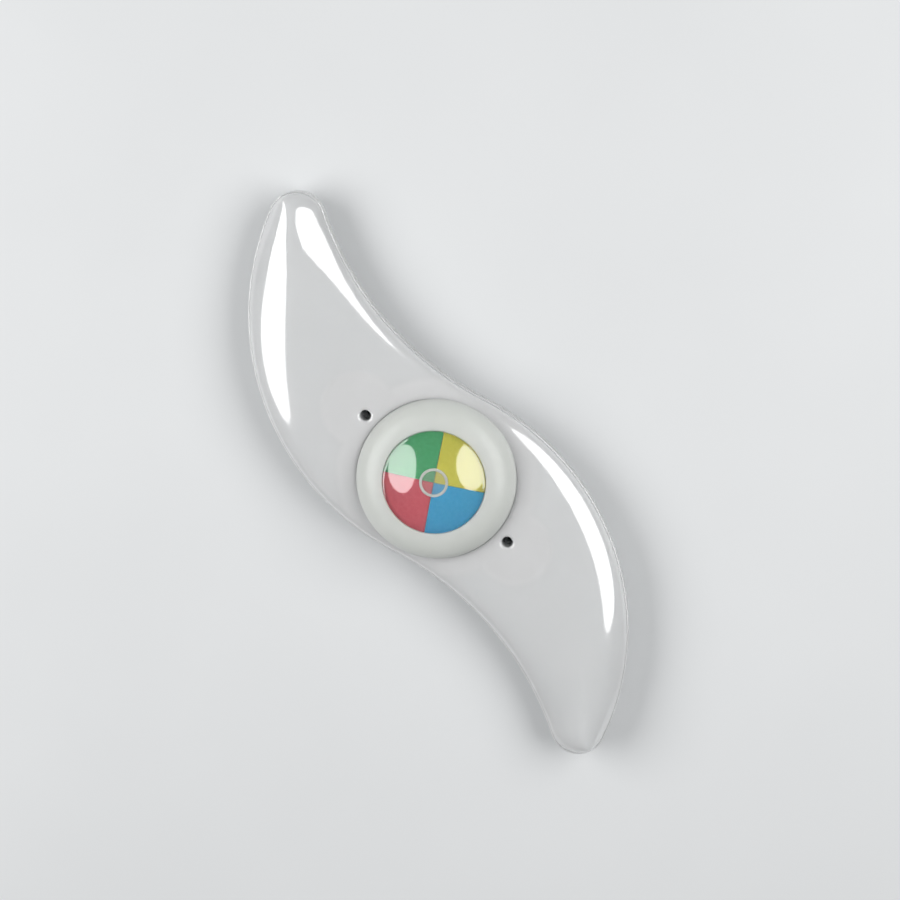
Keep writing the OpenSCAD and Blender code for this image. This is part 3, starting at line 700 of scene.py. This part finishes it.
def paint_see_through_shade(material, tone):
    """Painted see-through light and shade on the base colour: it stays as it is in a paler disc round the
    hub and where the lock plate's wings lie behind, and the rest is dulled to tone as painted shade of the
    shadowed floor seen through the shell.
    """
    nodes, links = material.node_tree.nodes, material.node_tree.links
    shader = nodes["Principled BSDF"]
    plain = shader.inputs["Base Color"].links[0].from_socket
    where = nodes.new("ShaderNodeTexCoord")
    turn = nodes.new("ShaderNodeVectorRotate")
    turn.rotation_type = "Z_AXIS"
    turn.inputs["Angle"].default_value = -math.radians(TIE_ANGLE)
    split = nodes.new("ShaderNodeSeparateXYZ")
    links.new(where.outputs["Object"], turn.inputs["Vector"])
    links.new(turn.outputs["Vector"], split.inputs["Vector"])
    x, y = split.outputs["X"], split.outputs["Y"]
    past_wing = calculate(material, "SUBTRACT", calculate(material, "ABSOLUTE", x), WING_REACH * MM)
    from_wings = flat_length(material, calculate(material, "MAXIMUM", past_wing, 0.0), y)
    from_hub = calculate(material, "SUBTRACT", flat_length(material, x, y), (PAINTED_PALE_R - WING_W / 2) * MM)
    # Painted shade: the base colour is scaled down from 1 to tone outside the paler disc and wing zone
    share = nodes.new("ShaderNodeMapRange")
    share.interpolation_type = "SMOOTHSTEP"
    share.inputs["From Min"].default_value = (WING_W / 2 - PAINTED_PALE_BLUR) * MM
    share.inputs["From Max"].default_value = (WING_W / 2 + PAINTED_PALE_BLUR) * MM
    share.inputs["To Min"].default_value = 1.0
    share.inputs["To Max"].default_value = tone
    links.new(calculate(material, "MINIMUM", from_wings, from_hub), share.inputs["Value"])
    shaded_colour = nodes.new("ShaderNodeVectorMath")
    shaded_colour.operation = "SCALE"
    links.new(plain, shaded_colour.inputs[0])
    links.new(share.outputs["Result"], shaded_colour.inputs["Scale"])
    links.new(shaded_colour.outputs["Vector"], shader.inputs["Base Color"])


def clear_plastic(name, tint, roughness, gloss=0.0):
    """Clear plastic or resin, under a glossy skin where gloss is given."""
    material, shader = principled(
        name,
        Base_Color=(*tint, 1),
        IOR=1.49,
        Transmission_Weight=1.0,
        Coat_Weight=gloss,
        Coat_IOR=1.7,
        Coat_Roughness=0.1,
    )
    vary_roughness(material, shader, roughness, roughness * 2, size=3)
    add_bump(material, shader, size=6, height=0.006)
    return material


def printed_film(name, dark, light):
    """Printed colour film with a fine grain."""
    material, shader = principled(name, Specular_IOR_Level=0.4)
    vary_colour(material, shader, dark, light, size=0.8)
    vary_roughness(material, shader, 0.35, 0.5, size=0.6)
    add_bump(material, shader, size=0.5, height=0.006)
    return material


def moulded(name, dark, light, roughness=0.5, alpha=1.0):
    """Matte moulded or painted surface."""
    material, shader = principled(name, Alpha=alpha)
    vary_colour(material, shader, dark, light, size=2.5)
    vary_roughness(material, shader, roughness, roughness + 0.15, size=1.2)
    add_bump(material, shader, size=0.4, height=0.01)
    return material


def metal(name, dark, light, roughness=0.28):
    """Plain or plated sheet, wire and screws."""
    material, shader = principled(name, Metallic=1.0)
    vary_colour(material, shader, dark, light, size=1.5)
    vary_roughness(material, shader, roughness, roughness + 0.18, size=0.7)
    add_bump(material, shader, size=0.3, height=0.006)
    return material


def rubber(name, dark, light):
    """Dull rubber or foam."""
    material, shader = principled(name, Specular_IOR_Level=0.3)
    vary_colour(material, shader, dark, light, size=1.0)
    vary_roughness(material, shader, 0.65, 0.85, size=0.5)
    add_bump(material, shader, size=0.25, height=0.02)
    return material


def board_mask(name):
    """Green solder mask over paler copper tracks."""
    track_pitch = 9 * MM
    material, shader = principled(name, Coat_Weight=0.3, Coat_Roughness=0.25)
    nodes, links = material.node_tree.nodes, material.node_tree.links
    where = nodes.new("ShaderNodeTexCoord")
    bricks = nodes.new("ShaderNodeTexBrick")
    bricks.inputs["Scale"].default_value = 1 / track_pitch
    bricks.inputs["Mortar Size"].default_value = 0.03
    bricks.inputs["Color1"].default_value = (0.03, 0.22, 0.1, 1)
    bricks.inputs["Color2"].default_value = (0.035, 0.25, 0.12, 1)
    bricks.inputs["Mortar"].default_value = (0.09, 0.36, 0.16, 1)
    links.new(where.outputs["Object"], bricks.inputs["Vector"])
    links.new(bricks.outputs["Color"], shader.inputs["Base Color"])
    vary_roughness(material, shader, 0.35, 0.5, size=1.0)
    add_bump(material, shader, size=0.3, height=0.01)
    return material


# Dressing the lamp
def paint(obj, material):
    """One material on the whole object."""
    obj.data.materials.clear()
    obj.data.materials.append(material)


def paint_where(obj, material, chosen):
    """Another material on the chosen faces."""
    obj.data.materials.append(material)
    for face in obj.data.polygons:
        if chosen(face):
            face.material_index = 1


def on_rim(face):
    """Whether a face of the front shell belongs to its rim band."""
    return face.center.z / MM < PART_Z + RIM_H


def looks_down(face):
    """Whether a face belongs to the underside."""
    return face.normal.z < -0.5


def place(obj, body, slot, material, *nodes):
    """A piece that rides on a body and stands for CAD nodes."""
    paint(obj, material)
    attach(obj, body)
    if nodes:
        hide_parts(*nodes)


def dress_pieces():
    """The finer pieces that stand for CAD nodes, and the print under the dome."""
    front = milky_plastic("milky_front", (0.965, 0.985, 0.99), (0.975, 0.99, 0.995), see_through=0.28)
    # The front's colour carries painted shade away from the hub and the lock plate's wings, standing for
    # the shadowed floor seen through the shell
    paint_see_through_shade(front, tone=0.92)
    rim = milky_plastic("milky_rim", (0.97, 0.985, 0.985), (0.98, 0.99, 0.99), see_through=0.1)
    back = milky_plastic(
        "milky_back", (0.945, 0.97, 0.975), (0.96, 0.98, 0.985), see_through=0.36, blur=0.35, gloss=0.2
    )
    ring = milky_plastic(
        "milky_ring", (0.67, 0.69, 0.655), (0.71, 0.73, 0.695), see_through=0.1, blur=0.45, gloss=0.1
    )
    plate = milky_plastic("milky_plate", (0.92, 0.94, 0.92), (0.95, 0.965, 0.95), see_through=0.2)
    clear = clear_plastic("clear_dome", (1.0, 1.0, 1.0), roughness=0.03, gloss=1.0)
    clear_under = clear_plastic("clear_dome_under", (1.0, 1.0, 1.0), roughness=0.03)
    pale = moulded("pale_mark", (0.93, 0.94, 0.91), (0.96, 0.97, 0.94), roughness=0.4)
    frost = moulded("frosted_mark", (0.8, 0.82, 0.8), (0.85, 0.87, 0.85), alpha=0.12)
    shell = make_front_shell()
    place(shell, "lamp", "shell_front", front, "front_shell")
    paint_where(shell, rim, on_rim)
    place(make_back_shell(), "lamp", "shell_back", back, "back_shell")
    place(make_collar(), "lamp", "ring_plastic", ring, "hub_bezel")
    dome = make_dome()
    place(dome, "button", "clear_plastic", clear, "button_dome")
    paint_where(dome, clear_under, looks_down)
    place(make_ring_mark(), "button", "disc_plastic", pale)
    place(make_frosted_spot(), "button", "disc_plastic", frost)
    place(make_lock_plate(), "lock", "plate_plastic", plate, "rear_lock_plate")


def dress_nodes():
    """Materials of the CAD nodes that stay as they are."""
    steel = metal("tinned_steel", (0.62, 0.62, 0.62), (0.75, 0.75, 0.75))
    wire = metal("tinned_wire", (0.66, 0.66, 0.67), (0.8, 0.8, 0.8), roughness=0.35)
    brass = metal("contact_brass", (0.68, 0.5, 0.2), (0.8, 0.62, 0.3), roughness=0.25)
    seal = rubber("seal_rubber", (0.2, 0.2, 0.21), (0.28, 0.28, 0.29))
    lamp = clear_plastic("lamp_resin", (0.95, 0.97, 0.98), roughness=0.03)
    materials = {
        "colour_disc": moulded("disc_white", (0.8, 0.8, 0.78), (0.88, 0.88, 0.86)),
        "green_field": printed_film("green_film", (0.1, 0.56, 0.23), (0.12, 0.6, 0.26)),
        "yellow_field": printed_film("yellow_film", (0.94, 0.87, 0.11), (0.98, 0.91, 0.14)),
        "blue_field": printed_film("blue_film", (0.07, 0.53, 0.95), (0.09, 0.57, 0.99)),
        "red_field": printed_film("red_film", (0.94, 0.15, 0.2), (0.98, 0.18, 0.23)),
        "switch_case": moulded("switch_black", (0.02, 0.02, 0.02), (0.035, 0.035, 0.035)),
        "switch_cover": steel,
        "switch_plunger": moulded("plunger_ivory", (0.76, 0.72, 0.6), (0.84, 0.8, 0.69)),
        "switch_feet": wire,
        "circuit_board": board_mask("board_mask"),
        "control_chip": moulded("chip_black", (0.015, 0.015, 0.016), (0.03, 0.03, 0.032), roughness=0.4),
        "resistors": moulded("resistor_body", (0.03, 0.03, 0.035), (0.06, 0.06, 0.065), roughness=0.35),
        "hub_leds": moulded("lamp_white", (0.85, 0.83, 0.72), (0.92, 0.9, 0.8), roughness=0.35),
        "arm_led_a": lamp,
        "arm_led_b": lamp,
        "led_leads": wire,
        "battery_holder": moulded("holder_white", (0.78, 0.78, 0.76), (0.86, 0.86, 0.84)),
        "coin_cell": metal("cell_steel", (0.6, 0.6, 0.61), (0.74, 0.74, 0.74), roughness=0.22),
        "cell_pad": rubber("pad_foam", (0.1, 0.1, 0.11), (0.18, 0.18, 0.19)),
        "positive_contact": brass,
        "negative_contact": brass,
        "hub_screws": metal("screw_steel", (0.56, 0.56, 0.57), (0.68, 0.68, 0.69)),
        "bezel_seal": seal,
        "cover_seal": seal,
    }
    for node, material in materials.items():
        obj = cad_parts[node]
        paint(obj, material)
        smooth(obj.data)


# Floor, light and camera
def view_vectors():
    """Unit vectors of image right and image up on the lamp's plane."""
    return polar(1, IMAGE_UP - 90), polar(1, IMAGE_UP)


def upright(back):
    """Rotation that looks against back, with image up as up."""
    up = view_vectors()[1].to_3d()
    y_axis = (up - back * up.dot(back)).normalized()
    return Matrix((y_axis.cross(back), y_axis, back)).transposed().to_quaternion()


def make_floor():
    """Plain pale paper just under the lock plate."""
    surface = Surface()
    ends = (-FLOOR_HALF, FLOOR_HALF)
    surface.grid([[(x, y, -SEAM) for y in ends] for x in ends])
    floor = surface.make("floor")
    material, shader = principled("floor_paper", Specular_IOR_Level=0.2)
    vary_colour(material, shader, (0.7, 0.71, 0.715), (0.72, 0.73, 0.735), size=60)
    vary_roughness(material, shader, 0.6, 0.7, size=20)
    paint(floor, material)


def soft_box(name, toward):
    """Oval soft light in the direction (image right, image up, up), facing the hub."""
    right, up = view_vectors()
    level = toward[0] * right + toward[1] * up
    direction = Vector((level.x, level.y, toward[2])).normalized()
    data = bpy.data.lights.new(name, "AREA")
    data.shape = "ELLIPSE"
    data.size, data.size_y = BOX_SIZE
    data.energy = BOX_WATTS
    light = bpy.data.objects.new(name, data)
    light.location = direction * BOX_DISTANCE
    light.rotation_mode = "QUATERNION"
    light.rotation_quaternion = upright(direction)
    bpy.context.scene.collection.objects.link(light)


def make_light():
    """Two soft lights beside the lamp in a dim, slightly cool room."""
    soft_box("left_box", toward=(-0.7, 0.12, 0.7))
    soft_box("right_box", toward=(0.66, 0.18, 0.72))
    world = bpy.data.worlds.new("studio")
    world.use_nodes = True
    background = world.node_tree.nodes["Background"]
    background.inputs["Color"].default_value = (0.96, 0.98, 1.0, 1)
    background.inputs["Strength"].default_value = 0.2
    bpy.context.scene.world = world


def make_camera():
    """Camera that sees the hub at its pixel and the lamp in the photograph's size."""
    right, up = view_vectors()
    data = bpy.data.cameras.new("camera")
    data.lens = LENS
    data.sensor_width = SENSOR
    camera = bpy.data.objects.new("camera", data)
    bpy.context.scene.collection.objects.link(camera)
    lean = math.radians(LEAN)
    side = polar(math.sin(lean), LEAN_SIDE)
    toward = Vector((side.x, side.y, math.cos(lean)))
    across = (PIXELS / 2 - HUB_PIXEL[0]) / PIXELS_PER_MM
    above = (HUB_PIXEL[1] - PIXELS / 2) / PIXELS_PER_MM
    aim = across * right + above * up
    target = Vector((aim.x, aim.y, PART_Z)) * MM
    field = PIXELS / PIXELS_PER_MM * MM
    camera.location = target + toward * (field * LENS / SENSOR)
    camera.rotation_mode = "QUATERNION"
    camera.rotation_quaternion = upright(toward.normalized())
    bpy.context.scene.camera = camera


make_camera()
dress_pieces()
dress_nodes()
make_floor()
make_light()
bpy.context.scene.view_settings.view_transform = "Standard"

bpy.context.view_layer.update()
